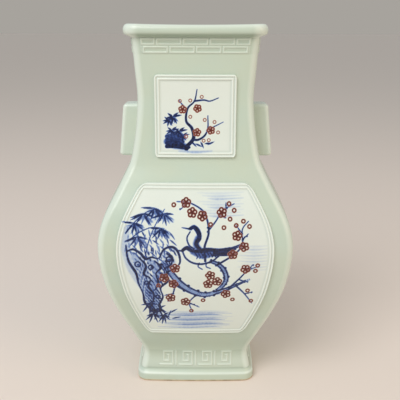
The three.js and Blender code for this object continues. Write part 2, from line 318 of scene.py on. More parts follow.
skin_points, skin_thin_and_highlight, skin_pool_and_shade, skin_bare = [], [], [], []
for number, (half, out, z) in enumerate(rows):
    x, y, along, face, corner = perimeter(half, out)
    relief = np.zeros_like(x)
    on_wall = wall_first <= number < wall_first + len(levels)
    if on_wall:
        zs = np.full_like(along, z)
        for turn in range(4):
            part = face == turn
            share = 1.0 if turn % 2 == 0 else DEPTH_SHARE
            reach = share * half - CORNER
            if z > NECK_FRET_BOTTOM - 1:
                relief[part] = neck_fret(along[part], zs[part], reach - 1)
            elif z < FOOT_FRET_BOTTOM + FOOT_FRET_HEIGHT + 1:
                relief[part] = foot_fret(along[part], zs[part], share * FOOT_FRET_HALF - CORNER)
    normal = np.stack([x - np.clip(x, -(half - CORNER), half - CORNER),
                       y - np.clip(y, -(DEPTH_SHARE * half - CORNER), DEPTH_SHARE * half - CORNER)])
    normal /= np.maximum(np.linalg.norm(normal, axis=0), 1e-6)
    x, y = x + normal[0] * relief * FRET_RISE, y + normal[1] * relief * FRET_RISE
    sag = 0.0
    if z > COLLAR and out > -WALL:
        sag = -0.9 * np.clip(1 - (x / 62) ** 2, 0, 1) * (z - COLLAR) / (TOTAL - COLLAR)
    skin_points.append(np.stack([x, y, np.full_like(x, z) + sag], axis=1))
    outside = number >= wall_first and out > -1
    ledge_line = math.exp(-((z - 9.6) / 1.1) ** 2)
    # The top of the lip is painted lighter: partly the glaze thinning on the rim, partly painted highlight
    # where the overhead light falls on it.
    lip_top_thin_and_highlight = smooth(375.5, 379.5, z)
    # Painted highlight: the foot's fret band, which faces a little upward, is painted lighter.
    painted_foot_light = 0.35 * math.exp(-((z - 22) / 9) ** 2)
    thin_and_highlight = 0.85 * corner * outside + 0.5 * relief + ledge_line + painted_foot_light + 0.8 * lip_top_thin_and_highlight
    skin_thin_and_highlight.append(np.clip(thin_and_highlight, 0, 1))
    band = float(on_wall and (z > NECK_FRET_BOTTOM - 1 or 16 < z < 36.5))
    # Under the lip the glaze is painted darker: partly glaze gathered in the crease, partly painted shade
    # cast by the lip.
    under_lip_pool_and_shade = math.exp(-((z - 369.6) / 2.2) ** 2) * (z > 300)
    # Painted shade: the underside of the belly, which faces down away from the light, is painted darker.
    painted_undercut_shade = 0.35 * math.exp(-((z - 46) / 16) ** 2) * on_wall
    ledge_foot = math.exp(-((z - 14.4) / 1.0) ** 2)
    pool_and_shade = 0.22 * band * (1 - relief) + under_lip_pool_and_shade + painted_undercut_shade + 0.9 * ledge_foot
    skin_pool_and_shade.append(np.clip(pool_and_shade, 0, 1))
    skin_bare.append(np.full_like(x, 1.0 - float(smooth(0.8, 2.6, z))))

body = grid_mesh("glazed_body", np.array(skin_points), wrap=True, attributes={
    "thin_and_highlight": np.array(skin_thin_and_highlight), "pool_and_shade": np.array(skin_pool_and_shade), "bare": np.array(skin_bare),
})
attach(body, "root")
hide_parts("front_wall", "right_wall", "back_wall", "left_wall", "mouth_rim", "foot_ring")

# %% [markdown]
# The lugs are solid blocks of clay stuck to the narrow sides of the neck. Their edges are rubbed
# round with a wet finger, so the section is a rounded rectangle that shrinks at the ends.

# %% Lugs
LUG = {"bottom": 248.0, "top": 302.0, "half": 13.0, "low_reach": 79.7, "high_reach": 74.3, "edge": 3.4}


def lug(name, side):
    edge = LUG["edge"]
    arc = np.linspace(0, math.pi / 2, 9)
    ends = [(LUG["bottom"] + edge * (1 - math.sin(a)), edge * (1 - math.cos(a))) for a in arc[::-1]]
    middle = [(z, 0.0) for z in np.linspace(LUG["bottom"] + edge, LUG["top"] - edge, 22)[1:-1]]
    tops = [(LUG["top"] - edge * (1 - math.sin(a)), edge * (1 - math.cos(a))) for a in arc]
    plan = [(LUG["bottom"], None, s) for s in (0.05, 0.5)] + [(z, d, 1) for z, d in ends + middle + tops]
    plan += [(LUG["top"], None, s) for s in (0.5, 0.05)]
    points, thin_and_highlight = [], []
    for z, draw, scale in plan:
        draw = edge if draw is None else draw
        share = (z - LUG["bottom"]) / (LUG["top"] - LUG["bottom"])
        reach = LUG["low_reach"] + (LUG["high_reach"] - LUG["low_reach"]) * share - draw
        back = float(half_width(z)[0]) - 1.0
        half = LUG["half"] - draw
        inner = max(half - edge, 0.5)
        turn = np.linspace(0, math.pi / 2, 9)
        near = np.linspace(back, reach - edge, 10)[:-1]
        v = np.concatenate([near, reach - edge + edge * np.sin(turn), np.full(9, reach)])
        round_edge = -inner - (half - inner) * np.cos(turn)
        u = np.concatenate([np.full(9, -half), round_edge, np.linspace(-inner, 0, 10)[1:]])
        u = np.concatenate([u, -u[::-1][1:]])
        v = np.concatenate([v, v[::-1][1:]])
        centre = (back + reach) / 2
        u, v = u * scale, centre + (v - centre) * scale
        x, y = (v, u) if side > 0 else (-v, -u)
        points.append(np.stack([x, y, np.full_like(x, z)], axis=1))
        near_edge = np.clip(1 - (LUG["half"] - np.abs(u)) / 3.2, 0, 1) * np.clip(1 - (reach - v) / 5, 0, 1)
        near_end = max(1 - (z - LUG["bottom"]) / 3.5, 1 - (LUG["top"] - z) / 3.5, 0)
        outer = np.clip(1 - (reach - v) / 3.2, 0, 1) * 0.8
        thin_and_highlight.append(np.clip(0.4 + near_edge + near_end * 0.8 + outer, 0, 1))
    points, thin_and_highlight = np.array(points), np.array(thin_and_highlight)
    piece = grid_mesh(name, points, wrap=True, attributes={
        "thin_and_highlight": thin_and_highlight, "pool_and_shade": 0 * thin_and_highlight, "bare": 0 * thin_and_highlight,
    })
    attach(piece, "root")
    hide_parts("right_handle" if side > 0 else "left_handle")
    return piece


lugs = [lug("left_lug", -1), lug("right_lug", 1)]

# %% [markdown]
# A painter's brush, as arithmetic. Each stroke is a line with a width that swells and tapers. A
# mesh point within that width takes the stroke's strength, and the edge is soft, as cobalt is
# when it sinks into a glaze. The painting is then a list of strokes in millimetres across the
# panel and up the vase, drawn for this lesson.

# %% Brush strokes on a field of points


class Painting:
    def __init__(self, u, z):
        self.u, self.z = u, z
        self.cobalt, self.iron = np.zeros_like(u), np.zeros_like(u)

    def stroke(self, points, widths, strength=0.9, layer="cobalt", soft=0.35):
        points = np.array(points, float)
        widths = np.interp(np.linspace(0, 1, len(points)), np.linspace(0, 1, len(widths)), widths)
        target = getattr(self, layer)
        pad = max(widths) + 1
        low, high = points.min(0) - pad, points.max(0) + pad
        near = (self.u > low[0]) & (self.u < high[0]) & (self.z > low[1]) & (self.z < high[1])
        pu, pz, best = self.u[near], self.z[near], target[near]
        for a, b, wa, wb in zip(points[:-1], points[1:], widths[:-1], widths[1:]):
            step = b - a
            t = np.clip(((pu - a[0]) * step[0] + (pz - a[1]) * step[1]) / max(step @ step, 1e-9), 0, 1)
            distance = np.hypot(pu - a[0] - t * step[0], pz - a[1] - t * step[1])
            width = wa + (wb - wa) * t
            best = np.maximum(best, strength * (1 - smooth(width - soft, width + soft, distance)))
        target[near] = best

    def curve(self, points, widths, **options):
        points = np.array(points, float)
        padded = np.vstack([2 * points[0] - points[1], points, 2 * points[-1] - points[-2]])
        line = []
        for p0, p1, p2, p3 in zip(padded, padded[1:], padded[2:], padded[3:]):
            for t in np.linspace(0, 1, 8, endpoint=False):
                line.append(0.5 * (2 * p1 + (p2 - p0) * t + (2 * p0 - 5 * p1 + 4 * p2 - p3) * t**2
                                   + (3 * p1 - p0 - 3 * p2 + p3) * t**3))
        self.stroke([*line, points[-1]], widths, **options)

    def leaf(self, u, z, degrees, length, width=1.1, strength=0.85):
        angle = math.radians(degrees)
        reach = np.linspace(0, length, 7)
        bend = 0.08 * reach**2 / length
        along = np.array((math.cos(angle), math.sin(angle)))
        across = np.array((math.sin(angle), -math.cos(angle)))
        points = [np.array((u, z)) + r * along + b * across for r, b in zip(reach, bend)]
        self.stroke(points, [0.2, width, 0.8 * width, 0.15], strength=strength)

    def ring(self, u, z, radius, layer="iron", strength=0.9, width=0.5):
        turn = np.linspace(0, 2 * math.pi, 15)
        self.stroke(np.stack([u + radius * np.cos(turn), z + radius * np.sin(turn)], 1), [width],
                    layer=layer, strength=strength, soft=0.3)

    def blossom(self, u, z, size=2.0, turn=0.0, strength=1.0):
        for petal in range(5):
            angle = turn + petal * 2 * math.pi / 5
            middle = (u + 1.2 * size * math.cos(angle), z + 1.2 * size * math.sin(angle))
            self.dot(*middle, 0.8 * size, 0.05 * strength)
            self.ring(*middle, size * 0.84, strength=strength, width=0.68)
        self.dot(u, z, 1.2, 1.0)
        for petal in range(5):
            angle = turn + (petal + 0.5) * 2 * math.pi / 5
            self.dot(u + 2.1 * math.cos(angle), z + 2.1 * math.sin(angle), 0.5, 1.0)

    def dot(self, u, z, radius, strength, layer="iron"):
        self.stroke([(u, z), (u + 0.01, z)], [radius], layer=layer, strength=strength)

    def bough(self, points, widths):
        self.curve(points, widths, strength=0.34)
        for side, strength in ((1, 0.97), (-1, 0.93)):
            line = np.array(points, float)
            along = np.gradient(line, axis=0)
            along /= np.linalg.norm(along, axis=1)[:, None]
            thick = np.interp(np.linspace(0, 1, len(line)), np.linspace(0, 1, len(widths)), widths)
            shifted = line + side * np.stack([-along[:, 1], along[:, 0]], 1) * thick[:, None] * 0.8
            self.curve(shifted, [0.75, 0.9, 0.5], strength=strength)
            for (u, z), (du, dz), t in zip(shifted, along, thick):
                self.dot(u + side * 0.4, z + side * 0.5, 0.35 * t + 0.5, 1.0, layer="cobalt")
                for k in (0.7, 1.5, 2.4):
                    start = np.array((u, z)) + np.array((du, dz)) * k * 2
                    across = np.array((dz, -du)) * side * t * 0.7
                    self.stroke([start, start + across], [0.5, 0.2], strength=0.9)

    def wash(self, points, widths, strength=0.3):
        self.curve(points, widths, strength=strength, soft=1.4)


# %% [markdown]
# The body panel shows two birds on an old plum tree that leans over a pierced rock, with bamboo
# behind it: a traditional winter subject. Outlines and bamboo are dark cobalt, the rock is
# outlined and filled with paler washes, and the plum flowers are rings of iron red.

# %% Painting of the body panel
BAMBOO = ((-168, 13), (-140, 14), (-108, 12), (-66, 13), (-38, 14), (-12, 11))
GOLDEN = 0.618034
TWIGS = (
    ((46, 184), (40, 192)), ((46, 178), (52, 184)), ((12, 190), (19, 194)), ((24, 203), (30, 199)),
    ((44, 135), (53, 132)), ((52, 145), (57, 152)), ((-22, 118), (-31, 116)), ((-5, 106), (4, 101)),
    ((50, 118), (58, 120)), ((-8, 213), (-14, 207)),
    ((30, 207), (30, 213)), ((38, 163), (31, 168)),
)


def paint_bamboo(p):
    for u, z, size in ((-60, 194, 0.9), (-51, 203, 1.0), (-40, 208, 1.0), (-31, 203, 0.9), (-57, 181, 1.0),
                       (-34, 189, 0.9)):
        p.wash([(u - 8, z - 5), (u, z - 3), (u + 9, z - 7)], [2.0, 3.6, 1.4], 0.2)
        for degrees, length in BAMBOO:
            turned = degrees + 14 * math.sin(u + degrees)
            p.leaf(u + 1.5, z - 1.5, turned + 15, 0.8 * length * size, 0.9, 0.5)
            p.leaf(u, z, turned, length * size, 1.0, 0.92)
    p.curve([(-68, 184), (-58, 196), (-46, 205), (-36, 207)], [0.6, 0.3], strength=0.9)
    p.curve([(-66, 176), (-55, 185), (-42, 190), (-30, 189)], [0.6, 0.3], strength=0.85)
    p.curve([(-50, 158), (-45, 178), (-38, 194), (-30, 207)], [0.6, 0.35], strength=0.8)
    for k in range(46):
        share, down = (k * GOLDEN) % 1, k / 46
        u, z = -66 + 44 * share - 4 * down, 190 - 26 * down
        degrees = -100 + 70 * ((k * GOLDEN * 5) % 1)
        p.leaf(u, z, degrees, 6 + 3 * share, 0.7, 0.45 + 0.5 * ((k * GOLDEN * 3) % 1))


def paint_rock(p):
    p.wash([(-67, 186), (-68, 172), (-66, 158), (-61, 142), (-55, 128)], [3, 5, 5, 3], 0.2)
    p.wash([(-60, 160), (-52, 147), (-51, 132), (-47, 116), (-44, 100)], [4, 6, 5, 3], 0.26)
    p.wash([(-46, 158), (-38, 142), (-42, 124), (-41, 104), (-38, 88)], [3, 5, 5, 3], 0.3)
    p.wash([(-30, 162), (-24, 154), (-33, 136)], [4, 5, 3], 0.2)
    for line in (
        [(-67, 166), (-61, 168), (-54, 164), (-49, 158), (-43, 160), (-36, 159), (-31, 168), (-23, 171),
         (-17, 166), (-15, 155), (-20, 147)],
        [(-68, 172), (-66, 156), (-59, 142), (-57, 130), (-53, 118), (-52, 108), (-48, 100), (-44, 93)],
        [(-20, 147), (-28, 143), (-28, 133), (-35, 125), (-33, 114), (-37, 104), (-36, 96), (-44, 93)],
        [(-56, 160), (-49, 151), (-51, 141), (-45, 136), (-47, 126), (-42, 117), (-44, 104)],
        [(-40, 156), (-34, 149), (-39, 142), (-37, 131), (-41, 122)],
        [(-28, 164), (-23, 160), (-24, 152), (-31, 147)],
    ):
        p.curve(line, [0.8, 1.5, 0.7, 1.4, 0.6], strength=0.97)
    for k in range(150):
        share, down = (k * GOLDEN) % 1, k / 150
        z = 172 - 76 * down
        left, right = -66 + 18 * down, -17 - 20 * min(1.6 * down, 1)
        u = left + (right - left) * share
        lean = 2.0 + 1.6 * math.sin(9 * share + 7 * down)
        reach = 2.5 + 4.5 * ((k * GOLDEN * 3) % 1)
        p.stroke([(u, z), (u + 0.5 * lean, z - 0.6 * reach), (u + lean, z - reach)], [0.3, 0.85, 0.25],
                 strength=0.5 + 0.5 * ((k * GOLDEN * 2) % 1))
    for u, z, r in ((-57, 152, 2.8), (-44, 149, 2.4), (-26, 158, 2.6), (-49, 131, 2.0), (-38, 114, 2.2),
                    (-43, 96, 1.8)):
        p.ring(u, z, r, layer="cobalt", strength=0.97, width=0.75)
        p.dot(u + 0.5, z - 0.6, 0.5 * r, 0.75, layer="cobalt")


def paint_plum(p):
    p.bough([(-31, 154), (-25, 144), (-18, 134), (-9, 125), (1.5, 119), (10, 117), (19, 119)],
            [3.0, 3.4, 2.6])
    p.bough([(19, 119), (27, 122), (34, 125), (42, 129), (50, 133)], [2.2, 1.4, 0.7])
    p.bough([(15, 156), (22, 153), (28, 147), (31, 138), (29, 130), (23, 123)], [1.4, 2.4, 1.8])
    p.curve([(-34, 142), (-24, 132), (-8, 121), (2, 116)], [1.6, 0.8], strength=0.9)
    p.curve([(22, 152), (38, 163), (46, 173), (46, 188), (52, 196)], [1.1, 0.7, 0.4], strength=0.95)
    p.curve([(10, 156), (9, 170), (13, 184), (12, 196), (7, 206), (-6, 213), (-18, 214)], [1.2, 0.9, 0.4],
            strength=0.93)
    p.curve([(12, 186), (20, 196), (27, 206), (38, 212)], [0.8, 0.4], strength=0.93)
    p.curve([(34, 125), (44, 136), (52, 145), (62, 150)], [1.0, 0.4], strength=0.93)
    p.curve([(-20, 134), (-22, 120), (-28, 108)], [1.0, 0.4], strength=0.93)
    p.curve([(1, 117), (-6, 107), (-3, 95)], [0.8, 0.4], strength=0.93)
    p.curve([(41, 128), (50, 118), (58, 106)], [0.9, 0.4], strength=0.93)
    for u, z, turn in ((-3, 204, 0.2), (7, 201, 0.9), (26, 204, 0.5), (41, 182, 0.1), (48, 171, 0.8),
                       (-20, 148, 0.4), (-31, 137, 1.0), (-22, 130, 0.0), (15, 140, 0.6), (22, 133, 0.2),
                       (50, 147, 0.9), (13, 130, 0.3), (31, 118, 0.7), (-25, 113, 0.5), (-10, 108, 0.1),
                       (-9, 213, 0.3), (37, 163, 0.4)):
        p.blossom(u, z, 2.2, turn)
    for u, z in ((15, 193), (40, 192), (-4, 96), (47, 196), (60, 145), (53, 122), (57, 109), (33, 212),
                 (38, 206), (-21, 211), (53, 191), (62, 151), (28, 190), (-37, 128), (8, 110), (38, 111),
                 (34, 198)):
        p.ring(u, z, 1.7, width=0.6, strength=1.0)
    for k in range(34):
        start, end = TWIGS[k % len(TWIGS)]
        share = (k * GOLDEN) % 1
        u = start[0] + share * (end[0] - start[0]) + math.sin(2 * k)
        z = start[1] + share * (end[1] - start[1])
        p.dot(u, z, 0.85, 1.0, layer="cobalt")
    for start, end in TWIGS:
        p.stroke([start, end], [0.7, 0.35], strength=0.95)


def paint_birds(p):
    p.wash([(2, 180), (1, 173), (6, 167)], [2.2, 3.0, 2.4], 0.66)
    p.curve([(-5, 189), (-1, 190.5), (3, 186), (4, 180), (1, 174), (5, 168)], [1.5, 2.4, 2.2, 1.8],
            strength=0.97)
    p.stroke([(-4, 188.5), (-13, 190)], [1.0, 0.3], strength=1.0)
    p.curve([(-5, 186), (-8, 180), (-6, 173), (-1, 169)], [0.6, 0.8], strength=0.97)
    p.wash([(-2, 166), (8, 163), (20, 165)], [3.0, 4.6, 2.4], 0.62)
    p.curve([(-12, 168), (-8, 170), (-3, 167), (4, 167), (14, 168), (24, 168), (34, 170)],
            [1.6, 2.2, 1.6, 2.6, 1.6, 0.9], strength=0.97)
    p.stroke([(-12, 166.5), (-19, 168)], [1.0, 0.3], strength=1.0)
    p.curve([(-12, 165), (-9, 159), (-2, 154), (8, 153), (18, 157), (24, 163)], [0.7, 1.0, 0.8],
            strength=0.97)
    for k in range(8):
        u = 3 * k
        p.curve([(u, 165), (u + 2, 161), (u + 1.5, 158.5 + 0.4 * k)], [0.9, 0.4], strength=0.92)
    for k in range(4):
        p.curve([(18, 166 - 1.2 * k), (33, 169 - 2 * k), (48 - 4 * k, 175 - 3.2 * k)], [1.3, 1.2, 0.4],
                strength=0.95)
    p.curve([(4, 154), (3, 150), (7, 147)], [0.5], strength=1.0)
    p.curve([(11, 154), (11, 150), (15, 148)], [0.5], strength=1.0)


def paint_mist(p):
    for k in range(11):
        z = 95 - 2.2 * k
        shift = 6 * math.sin(2.4 * k)
        p.curve([(-34 + shift, z), (-8, z - 0.8), (16, z + 0.3), (34 + shift, z - 0.5)],
                [0.3, 1.3, 1.1, 0.2], strength=0.16 + 0.1 * (k % 3), soft=0.9)
    for k in range(9):
        z = 222 - 2.6 * k
        p.curve([(2 + 5 * (k % 3), z), (22, z - 0.6), (47 - 3 * (k % 2), z + 0.5)], [0.2, 1.3, 0.3],
                strength=0.12 + 0.05 * (k % 3), soft=0.9)
        z = 172 - 3.2 * k
        p.curve([(46 - 4 * (k % 2), z), (58, z - 0.8), (71, z)], [0.2, 1.3, 0.3],
                strength=0.12 + 0.05 * (k % 2), soft=0.9)


def paint_body(p):
    paint_mist(p)
    paint_rock(p)
    paint_bamboo(p)
    paint_plum(p)
    paint_birds(p)
    for u, z, size in ((-47, 106, 1.0), (-38, 99, 1.05), (-44, 92, 0.9), (-33, 90, 0.8)):
        for degrees, length in ((-150, 9), (-122, 14), (-96, 16), (-74, 15), (-48, 12), (-20, 9), (28, 8)):
            p.leaf(u, z, degrees + 8 * math.sin(u + degrees), length * size, 1.0, 0.96)
    for u, z, degrees in ((-26, 93, 40), (-28, 88, 75), (-24, 85, 20)):
        p.leaf(u, z, degrees, 9, 0.9, 0.9)


# %% [markdown]
# The neck panel repeats the subject small: one plum stem rising from a dark rock, with bamboo.

# %% Painting of the neck panel


def paint_neck(p):
    for k in range(4):
        p.curve([(-28, 275 - 3.2 * k), (-20, 276 - 3.4 * k), (-12, 273 - 3.0 * k)], [1.9, 2.3, 1.6],
                strength=0.78 + 0.06 * k)
    p.wash([(-28, 270), (-20, 268), (-10, 265)], [3, 5, 3], 0.6)
    p.stroke([(-12, 265.5), (-9, 263.5), (-6, 264.5)], [1.7, 2.2, 1.2], strength=1.0)
    for u, z, size in ((-22, 294, 0.85), (-26, 291, 0.7), (-16, 280, 0.8), (-23, 281, 0.7), (-12, 276, 0.6)):
        for degrees, length in ((-165, 7), (-140, 8), (-95, 8), (-55, 8), (15, 9), (40, 7), (150, 6)):
            p.leaf(u, z, degrees, 1.15 * length * size, 1.3 * size, 0.93)
            p.leaf(u + 1, z - 1, degrees + 20, 0.8 * length * size, 1.1 * size, 0.6)
    p.curve([(-10, 264), (-2, 273), (-3.5, 283), (-9, 290), (-7.5, 302), (-1, 309), (1.5, 320)],
            [1.9, 1.6, 1.1, 0.8, 0.4], strength=1.0)
    p.curve([(-1, 309), (8, 310), (14, 309), (22, 312)], [0.9, 0.4], strength=0.95)
    p.curve([(-8, 301), (-13, 306), (-16, 310)], [0.7, 0.4], strength=0.95)
    p.curve([(-2, 272), (3, 272), (9, 276), (12, 283), (12, 295)], [1.2, 0.9, 0.4], strength=0.98)
    p.curve([(11, 281), (19, 285), (27, 289)], [0.7, 0.3], strength=0.95)
    for u, z, turn in ((-12.5, 301, 0.3), (2, 302, 0.8), (1.5, 279, 0.2), (15, 281, 0.6)):
        p.blossom(u, z, 1.75, turn, 0.8)
    for u, z in ((-15, 309), (-5, 309.5), (6, 313), (9, 291), (18.5, 289), (-9, 275), (8, 271), (13, 271.5),
                 (-5, 294), (22, 279)):
        p.ring(u, z, 1.45, strength=0.75, width=0.36)
    for u, z, degrees in ((-4, 270, -40), (0, 268, -20), (5, 270, -60), (9, 268, 10), (-6, 268, -100),
                          (12, 267, 30)):
        p.leaf(u, z, degrees, 7, 0.9)
    p.wash([(-16, 261), (0, 260), (16, 261)], [0.6, 1.2, 0.5], 0.3)


# %% [markdown]
# Each panel is a plate of white clay with two raised lines round it. It is bent onto the wall and
# laid over it as a fine grid, fine enough that the brush strokes can be stored on its points.

# %% Raised panels
BED = 0.5
PANEL_RISE = 1.5
BORDER_RISE = 0.9
BORDER = 1.9
GROOVE = 1.3


def border_height(inset):
    first = smooth(0.0, 0.7, inset) * (1 - smooth(BORDER - 0.4, BORDER + 0.4, inset))
    second = BORDER + GROOVE
    third = second + BORDER
    line = smooth(second - 0.2, second + 0.5, inset) * (1 - smooth(third - 0.5, third + 0.4, inset))
    return first + line


def panel(name, turn, bottom, top, half_at, corner, spacing, paint, node):
    side_rows = int((top - bottom) / spacing)
    z = np.linspace(bottom, top, side_rows)
    edge = np.minimum(z - bottom, top - z)
    miss = np.clip(corner - edge, 0, None)
    half = half_at(z) - (corner - np.sqrt(np.maximum(corner**2 - miss**2, 0))) * 0.8
    across = np.linspace(-1, 1, int(2 * half.max() / spacing))
    u = half[:, None] * across[None, :]
    zz = np.repeat(z[:, None], len(across), 1)
    inset = np.minimum(edge[:, None], half[:, None] - np.abs(u))
    inset = np.maximum(inset, 0)
    lift = BED + PANEL_RISE + BORDER_RISE * border_height(inset) - 0.9 * (1 - smooth(0, 0.6, inset))
    out = front_out(u.ravel(), zz.ravel()).reshape(u.shape)
    sign = 1 if turn == 0 else -1
    face = np.stack([sign * u, -sign * (out + lift), zz], axis=2)
    skirt = np.stack([sign * u, -sign * (out - 0.6), zz], axis=2)
    face = np.concatenate([skirt[:1], face, skirt[-1:]], axis=0)
    left = np.concatenate([skirt[:1, :1], skirt[:, :1], skirt[-1:, :1]], axis=0)
    right = np.concatenate([skirt[:1, -1:], skirt[:, -1:], skirt[-1:, -1:]], axis=0)
    points = np.concatenate([left, face, right], axis=1)
    picture = Painting(u, zz)
    paint(picture)
    lines = border_height(inset)
    # Painted shade: the grooves beside the raised lines are marked to be painted darker.
    groove_shade = np.clip(1 - lines, 0, 1) * (1 - smooth(5.2, 8.0, inset))
    values = {"cobalt": picture.cobalt, "iron": picture.iron, "groove_shade": groove_shade, "line": lines}
    padded = {key: np.pad(value, 1, mode="edge") for key, value in values.items()}
    piece = grid_mesh(name, points, attributes=padded)
    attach(piece, "root")
    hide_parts(node)
    return piece


NECK_PANEL_HALF = 39.8
BODY_PANEL_INSET = 19.5


def neck_panel_half(z):
    return np.full_like(z, NECK_PANEL_HALF)


def body_panel_half(z):
    return half_width(z) - BODY_PANEL_INSET


NECK = {"bottom": 254.5, "top": 334.0, "half_at": neck_panel_half, "corner": 4.5, "spacing": 0.4}
BODY = {"bottom": 64.0, "top": 231.0, "half_at": body_panel_half, "corner": 9.0, "spacing": 0.6}
panels = []
for turn, word in ((0, "front"), (2, "back")):
    for part, shape, paint in (("neck", NECK, paint_neck), ("body", BODY, paint_body)):
        name = f"{word}_painted_{part}_panel"
        panels.append(panel(name, turn, paint=paint, node=f"{word}_{part}_panel", **shape))

# %% [markdown]
# Celadon glaze over porcelain. The green comes from a little iron in a thick, slightly milky glaze
# that was fired without much air. The eye gets a soft grey-green, whiter where the glaze is thin
# on corners and raised lines, greener in the hollows, and a broad soft gloss. The foot band and the
# top of the lip are also painted lighter as painted highlight, and the crease under the lip and the
# underside of the belly darker as painted shade. The foot's standing edge is wiped bare and shows
# the buff clay with ochre stains.

# %% Celadon glaze
CELADON = linear("#c2d2c4")
CELADON_THIN_AND_HIGHLIGHT = linear("#e4eee4")
CELADON_POOL_AND_SHADE = linear("#8f9f8d")
CELADON_WARM = linear("#c9d1ba")
BARE_CLAY = linear("#cdb78f")
OCHRE_STAIN = linear("#a88a57")
GLAZE_ROUGHNESS = 0.24
CLOUD_MM = 45
STAIN_MM = 9


def new_material(name, roughness, ior=1.5):
    material = bpy.data.materials.new(name)
    material.use_nodes = True
    tree = material.node_tree
    shader = tree.nodes["Principled BSDF"]
    shader.inputs["Roughness"].default_value = roughness
    shader.inputs["IOR"].default_value = ior
    return material, tree, shader


def glaze_skin(tree, shader, height_mm=0.05, feature_mm=6.0):
    place = add_node(tree, "ShaderNodeTexCoord").outputs["Object"]
    swell = add_node(tree, "ShaderNodeTexNoise", None, {
        "Vector": place, "Scale": 1 / (feature_mm * MM), "Detail": 2.0,
    })
    bump = add_node(tree, "ShaderNodeBump", None, {
        "Height": swell.outputs["Fac"], "Strength": 0.5, "Distance": height_mm * MM,
    })
    tree.links.new(bump.outputs["Normal"], shader.inputs["Normal"])


def celadon_material():
    material, tree, shader = new_material("celadon_glaze_on_porcelain", GLAZE_ROUGHNESS)
    place = add_node(tree, "ShaderNodeTexCoord").outputs["Object"]
    thin_and_highlight = add_node(tree, "ShaderNodeAttribute", {"attribute_name": "thin_and_highlight"}).outputs["Fac"]
    pool_and_shade = add_node(tree, "ShaderNodeAttribute", {"attribute_name": "pool_and_shade"}).outputs["Fac"]
    bare = add_node(tree, "ShaderNodeAttribute", {"attribute_name": "bare"}).outputs["Fac"]

    # Broad clouds, where the kiln's air turned the glaze a little warmer.
    cloud = add_node(tree, "ShaderNodeTexNoise", None, {
        "Vector": place, "Scale": 1 / (CLOUD_MM * MM), "Detail": 3.0,
    })
    warm = add_node(tree, "ShaderNodeMapRange", None, {
        "Value": cloud.outputs["Fac"], "From Min": 0.35, "From Max": 0.7, "To Max": 0.5,
    })
    # A colour mix node takes its share at input 0 and its two colours at 6 and 7.
    colour = add_node(tree, "ShaderNodeMix", {"data_type": "RGBA"}, {
        0: warm.outputs["Result"], 6: CELADON, 7: CELADON_WARM,
    }).outputs[2]

    # Greener where glaze gathered in hollows, and also painted shade under the lip and on the underside of
    # the belly.
    pool_and_shade_share = add_node(tree, "ShaderNodeMapRange", None, {"Value": pool_and_shade, "To Max": 0.75})
    colour = add_node(tree, "ShaderNodeMix", {"data_type": "RGBA"}, {
        0: pool_and_shade_share.outputs["Result"], 6: colour, 7: CELADON_POOL_AND_SHADE,
    }).outputs[2]
    # Whiter where the glaze is thin, and also painted highlight on the foot band and the top of the lip.
    thin_and_highlight_share = add_node(tree, "ShaderNodeMapRange", None, {"Value": thin_and_highlight, "To Max": 0.8})
    colour = add_node(tree, "ShaderNodeMix", {"data_type": "RGBA"}, {
        0: thin_and_highlight_share.outputs["Result"], 6: colour, 7: CELADON_THIN_AND_HIGHLIGHT,
    }).outputs[2]

    # The bare standing edge, with ochre stains.
    blotch = add_node(tree, "ShaderNodeTexNoise", None, {
        "Vector": place, "Scale": 1 / (STAIN_MM * MM), "Detail": 3.0,
    })
    stain = add_node(tree, "ShaderNodeMapRange", None, {
        "Value": blotch.outputs["Fac"], "From Min": 0.45, "From Max": 0.62,
    })
    clay = add_node(tree, "ShaderNodeMix", {"data_type": "RGBA"}, {
        0: stain.outputs["Result"], 6: BARE_CLAY, 7: OCHRE_STAIN,
    }).outputs[2]
    colour = add_node(tree, "ShaderNodeMix", {"data_type": "RGBA"}, {0: bare, 6: colour, 7: clay}).outputs[2]
    tree.links.new(colour, shader.inputs["Base Color"])
    rough = add_node(tree, "ShaderNodeMapRange", None, {
        "Value": bare, "To Min": GLAZE_ROUGHNESS, "To Max": 0.8,
    })
    tree.links.new(rough.outputs["Result"], shader.inputs["Roughness"])
    glaze_skin(tree, shader)
    return material


celadon = celadon_material()
for piece in (body, *lugs):
    piece.data.materials.append(celadon)
print("celadon on", 1 + len(lugs), "pieces")

# %% [markdown]
# The panels are white slip under clear glaze. Cobalt reads by thickness: a thin wash is grey-blue,
# a loaded stroke nearly black. Iron red turns brownish where it is thin. The grooves beside the
# raised lines are painted a darker grey-green, a painted shade that makes the lines read from a distance.

# %% Painted white glaze
WHITE = linear("#e1ebe5")
WHITE_CLOUD = linear("#dde5dc")
WHITE_GROOVE_SHADE = linear("#bccabf")
WHITE_LINE = linear("#e9f2ea")
COBALT_BY_THICKNESS = (
    (0.0, "#c2d2e6"), (0.3, "#86a0cc"), (0.6, "#38559a"), (0.82, "#182858"), (1.0, "#0a102e"),
)
WHITE_CLOUD_MM = 30
GRAIN_MM = 2.2
IRON_BY_THICKNESS = ((0.0, "#d8b4a4"), (0.5, "#96503f"), (1.0, "#50201c"))


def set_colours(node, stops):
    elements = node.color_ramp.elements
    while len(elements) < len(stops):
        elements.new(0.5)
    for element, (position, colour) in zip(elements, stops):
        element.position = position
        element.color = linear(colour)


